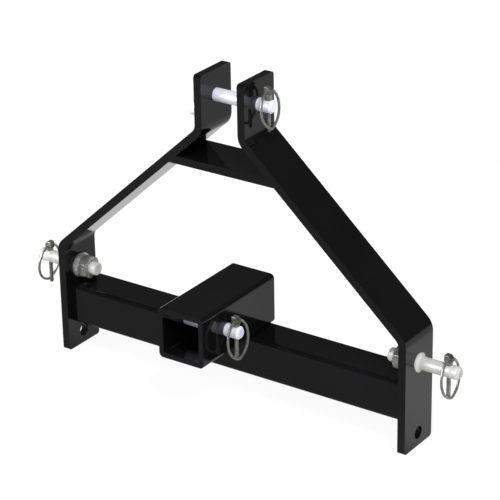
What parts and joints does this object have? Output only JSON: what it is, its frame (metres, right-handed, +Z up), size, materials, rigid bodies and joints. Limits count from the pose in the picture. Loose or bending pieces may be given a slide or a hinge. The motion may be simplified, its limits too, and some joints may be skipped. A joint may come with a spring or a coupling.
{
  "type": "three point receiver hitch",
  "caption": "Black three point hitch frame for a small tractor, with a square receiver socket, lower lift pins, a bent top pin and linch pins.",
  "frame": {"origin": "midway between the two lower lift pins, on their common axis", "axes": "+X to the right along the lower lift pins, +Y back, away from the open end of the receiver tube, +Z up from the feet to the top pin"},
  "size_m": [0.608, 0.146, 0.408],
  "materials": {
    "frame": "gloss black powder coat on steel",
    "pins": "bright zinc plated steel",
    "fasteners": "grey zinc plated steel",
    "linch": "zinc plated steel"
  },
  "bodies": {
    "frame": {"right_arm": "frame", "left_arm": "frame", "cross_tube": "frame", "receiver_tube": "frame", "mast_brace": "frame", "right_lift_pin": "pins", "left_lift_pin": "pins", "right_flat_washer": "fasteners", "left_flat_washer": "fasteners", "right_lock_washer": "fasteners", "left_lock_washer": "fasteners", "right_lift_nut": "fasteners", "left_lift_nut": "fasteners"},
    "top_pin": {"top_pin": "pins"},
    "receiver_pin": {"receiver_pin": "pins"},
    "right_lift_linch_pin": {"right_lift_linch_pin": "linch"},
    "left_lift_linch_pin": {"left_lift_linch_pin": "linch"},
    "top_linch_pin": {"top_linch_pin": "linch"},
    "receiver_linch_pin": {"receiver_linch_pin": "linch"},
    "right_lift_linch_ring": {"right_lift_linch_ring": "linch"},
    "left_lift_linch_ring": {"left_lift_linch_ring": "linch"},
    "top_linch_ring": {"top_linch_ring": "linch"},
    "receiver_linch_ring": {"receiver_linch_ring": "linch"}
  },
  "joints": [
    {"name": "top_pin_turn", "type": "hinge", "parent": "frame", "child": "top_pin", "pos_m": [0, 0, 0.269], "axis": [1, 0, 0], "continuous": true},
    {"name": "receiver_pin_turn", "type": "hinge", "parent": "frame", "child": "receiver_pin", "pos_m": [0, -0.068, 0.01125], "axis": [1, 0, 0], "continuous": true},
    {"name": "right_lift_linch_pull", "type": "slide", "parent": "frame", "child": "right_lift_linch_pin", "axis": [0, 0, 1], "range_m": [0, 0.018]},
    {"name": "left_lift_linch_pull", "type": "slide", "parent": "frame", "child": "left_lift_linch_pin", "axis": [0, 0, 1], "range_m": [0, 0.018]},
    {"name": "top_linch_pull", "type": "slide", "parent": "top_pin", "child": "top_linch_pin", "axis": [0, 0, 1], "range_m": [0, 0.014]},
    {"name": "receiver_linch_pull", "type": "slide", "parent": "receiver_pin", "child": "receiver_linch_pin", "axis": [0, 0, 1], "range_m": [0, 0.018]},
    {"name": "right_lift_ring_swing", "type": "hinge", "parent": "right_lift_linch_pin", "child": "right_lift_linch_ring", "pos_m": [0.2886, 0, 0.01394], "axis": [0, -1, 0], "range_deg": [0, 180]},
    {"name": "left_lift_ring_swing", "type": "hinge", "parent": "left_lift_linch_pin", "child": "left_lift_linch_ring", "pos_m": [-0.2886, 0, 0.01394], "axis": [0, 1, 0], "range_deg": [0, 180]},
    {"name": "top_ring_swing", "type": "hinge", "parent": "top_linch_pin", "child": "top_linch_ring", "pos_m": [0.048, 0, 0.28794], "axis": [0, -1, 0], "range_deg": [0, 100]},
    {"name": "receiver_ring_swing", "type": "hinge", "parent": "receiver_linch_pin", "child": "receiver_linch_ring", "pos_m": [0.04475, -0.068, 0.02519], "axis": [0, -1, 0], "range_deg": [0, 100]}
  ]
}
